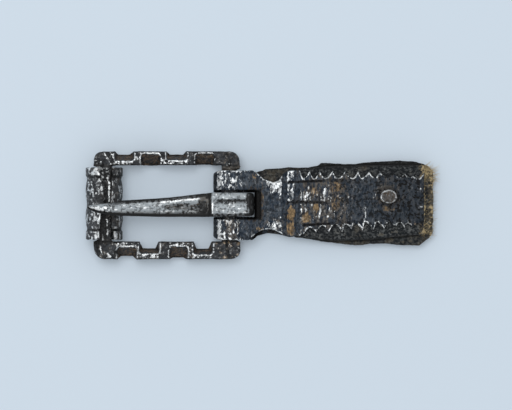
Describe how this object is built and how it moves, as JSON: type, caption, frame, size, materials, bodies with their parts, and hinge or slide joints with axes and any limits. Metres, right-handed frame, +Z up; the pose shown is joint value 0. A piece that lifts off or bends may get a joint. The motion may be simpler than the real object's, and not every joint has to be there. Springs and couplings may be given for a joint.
{
  "type": "buckle",
  "caption": "Iron roller buckle with a hinged frame, swinging tongue and folded serrated plate riveted to the torn end of a leather strap.",
  "frame": {"origin": "centre of the whole box in plan, on the surface that the buckle lies on", "axes": "+X from the roller along the strap to its torn end, +Y across the strap, +Z up out of the front leaf"},
  "size_m": [0.0978, 0.0302, 0.013],
  "materials": {
    "plate_iron": "blackened wrought iron sheet, worn bright on its edges, with spots of rust",
    "frame_iron": "forged iron with a dark patina, brown in the filed notches and bright on the worn faces",
    "roller_iron": "sheet iron, dull grey and pitted",
    "tongue_iron": "forged iron polished by wear",
    "rivet_iron": "hammered iron rivet with a rusty edge",
    "strap_leather": "old blackened leather, its torn end frayed to buff fibres"
  },
  "bodies": {
    "plate": {"buckle_plate": "plate_iron", "strap_upper_layer": "strap_leather", "strap_lower_layer": "strap_leather", "rivet": "rivet_iron"},
    "frame": {"frame": "frame_iron"},
    "roller": {"roller": "roller_iron"},
    "tongue": {"tongue": "tongue_iron"}
  },
  "joints": [
    {"name": "frame_hinge", "type": "hinge", "parent": "plate", "child": "frame", "pos_m": [-0.00854, 0, 0.0036], "axis": [0, 1, 0], "range_deg": [-160, 25]},
    {"name": "tongue_hinge", "type": "hinge", "parent": "frame", "child": "tongue", "pos_m": [-0.00854, 0, 0.0036], "axis": [0, 1, 0], "range_deg": [0, 95]},
    {"name": "roller_spin", "type": "hinge", "parent": "frame", "child": "roller", "pos_m": [-0.0436, 0, 0.00525], "axis": [0, 1, 0], "continuous": true}
  ]
}
